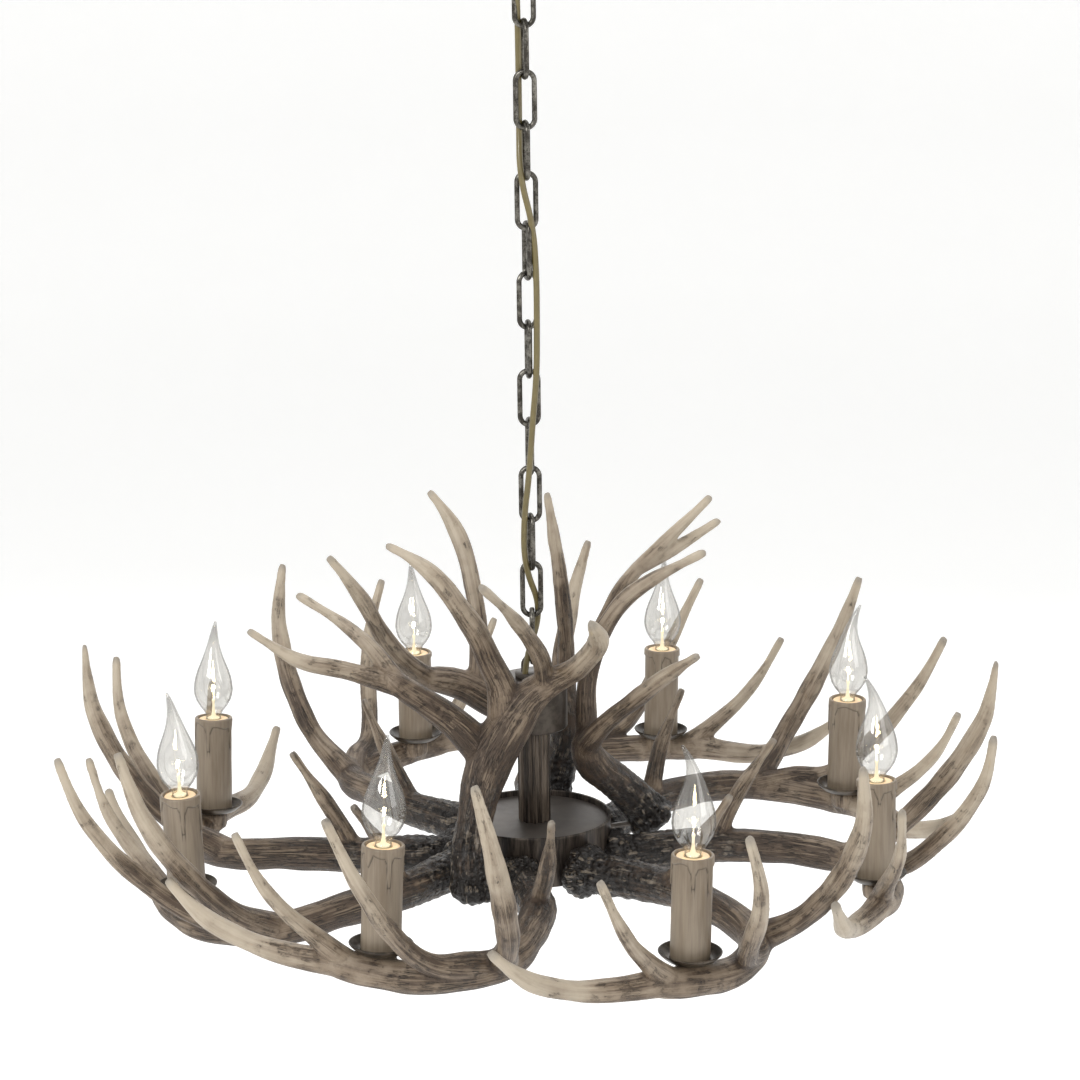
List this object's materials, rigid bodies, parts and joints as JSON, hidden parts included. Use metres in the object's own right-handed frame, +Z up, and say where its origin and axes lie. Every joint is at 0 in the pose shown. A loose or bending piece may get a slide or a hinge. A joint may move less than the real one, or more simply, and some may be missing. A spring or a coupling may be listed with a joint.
{
  "type": "antler chandelier",
  "caption": "Round chandelier of cast antlers around a drum hub, candle lamps on drip pans, hung by a long link chain with a cord threaded down it.",
  "frame": {"origin": "on the ceiling, at the middle of the bracket's top face", "axes": "+Z up, -Y to the front as pictured, +X to the right of the picture"},
  "size_m": [0.7916, 0.7965, 0.8425],
  "materials": {
    "antler_resin": "hand-painted cast antler, pale ridges with brown cracks, dark at the burr",
    "chain_bronze": "antique bronze wire",
    "bronze": "antique bronze, satin",
    "drum_bronze": "dark bronze with a vertical brushed grain",
    "cover_bronze": "lighter worn bronze plate",
    "pan_bronze": "dark bronze dish",
    "sleeve_card": "streaked waxy candle tube",
    "lampholder": "cream moulded lampholder",
    "cap_brass": "rolled lamp cap",
    "bulb_glass": "clear glass",
    "cord": "translucent olive-gold flex",
    "terminal": "white moulded block",
    "zinc_steel": "plain steel"
  },
  "bodies": {
    "ceiling_mount": {"ceiling_bracket": "zinc_steel", "bracket_nipple": "zinc_steel", "nipple_nut": "zinc_steel", "ceiling_canopy": "bronze", "canopy_loop": "bronze"},
    "chain": {"chain_links": "chain_bronze", "supply_cord": "cord"},
    "fixture": {"hub_loop": "bronze", "can_lid": "bronze", "upper_can": "bronze", "terminal_block": "terminal", "fluted_stem": "bronze", "center_rod": "zinc_steel", "drum_spacer": "zinc_steel", "drum_cover": "cover_bronze", "drum": "drum_bronze", "bottom_nut": "bronze", "antler_screws": "zinc_steel", "drip_pans": "pan_bronze", "lampholders": "lampholder", "upper_antler_front": "antler_resin", "upper_antler_right": "antler_resin", "upper_antler_back": "antler_resin", "lower_antler_1": "antler_resin", "lower_antler_2": "antler_resin", "lower_antler_3": "antler_resin", "lower_antler_4": "antler_resin", "lower_antler_5": "antler_resin", "lower_antler_6": "antler_resin", "lower_antler_7": "antler_resin", "lower_antler_8": "antler_resin", "candle_sleeve_1": "sleeve_card", "candle_sleeve_2": "sleeve_card", "candle_sleeve_3": "sleeve_card", "candle_sleeve_4": "sleeve_card", "candle_sleeve_5": "sleeve_card", "candle_sleeve_6": "sleeve_card", "candle_sleeve_7": "sleeve_card", "candle_sleeve_8": "sleeve_card"},
    "bulb_1": {"bulb_base_1": "cap_brass", "bulb_glass_1": "bulb_glass"},
    "bulb_2": {"bulb_base_2": "cap_brass", "bulb_glass_2": "bulb_glass"},
    "bulb_3": {"bulb_base_3": "cap_brass", "bulb_glass_3": "bulb_glass"},
    "bulb_4": {"bulb_base_4": "cap_brass", "bulb_glass_4": "bulb_glass"},
    "bulb_5": {"bulb_base_5": "cap_brass", "bulb_glass_5": "bulb_glass"},
    "bulb_6": {"bulb_base_6": "cap_brass", "bulb_glass_6": "bulb_glass"},
    "bulb_7": {"bulb_base_7": "cap_brass", "bulb_glass_7": "bulb_glass"},
    "bulb_8": {"bulb_base_8": "cap_brass", "bulb_glass_8": "bulb_glass"}
  },
  "joints": [
    {"name": "chain_swing", "type": "hinge", "parent": "ceiling_mount", "child": "chain", "pos_m": [0, 0, -0.0563], "axis": [0, 1, 0], "range_deg": [-2, 2]},
    {"name": "fixture_swing", "type": "hinge", "parent": "chain", "child": "fixture", "pos_m": [0, 0, -0.6401], "axis": [0, 1, 0], "range_deg": [-3, 3]},
    {"name": "bulb_1_out", "type": "slide", "parent": "fixture", "child": "bulb_1", "axis": [0.0032, -0.0081, 1], "range_m": [0, 0.03]},
    {"name": "bulb_2_out", "type": "slide", "parent": "fixture", "child": "bulb_2", "axis": [0.02, 0.0764, 0.9969], "range_m": [0, 0.03]},
    {"name": "bulb_3_out", "type": "slide", "parent": "fixture", "child": "bulb_3", "axis": [-0.0295, -0.0207, 0.9994], "range_m": [0, 0.03]},
    {"name": "bulb_4_out", "type": "slide", "parent": "fixture", "child": "bulb_4", "axis": [0.0442, 0.0383, 0.9983], "range_m": [0, 0.03]},
    {"name": "bulb_5_out", "type": "slide", "parent": "fixture", "child": "bulb_5", "axis": [0.0275, 0.002, 0.9996], "range_m": [0, 0.03]},
    {"name": "bulb_6_out", "type": "slide", "parent": "fixture", "child": "bulb_6", "axis": [-0.0056, 0.031, 0.9995], "range_m": [0, 0.03]},
    {"name": "bulb_7_out", "type": "slide", "parent": "fixture", "child": "bulb_7", "axis": [0.0195, -0.0005, 0.9998], "range_m": [0, 0.03]},
    {"name": "bulb_8_out", "type": "slide", "parent": "fixture", "child": "bulb_8", "axis": [0.0183, 0.0207, 0.9996], "range_m": [0, 0.03]}
  ]
}
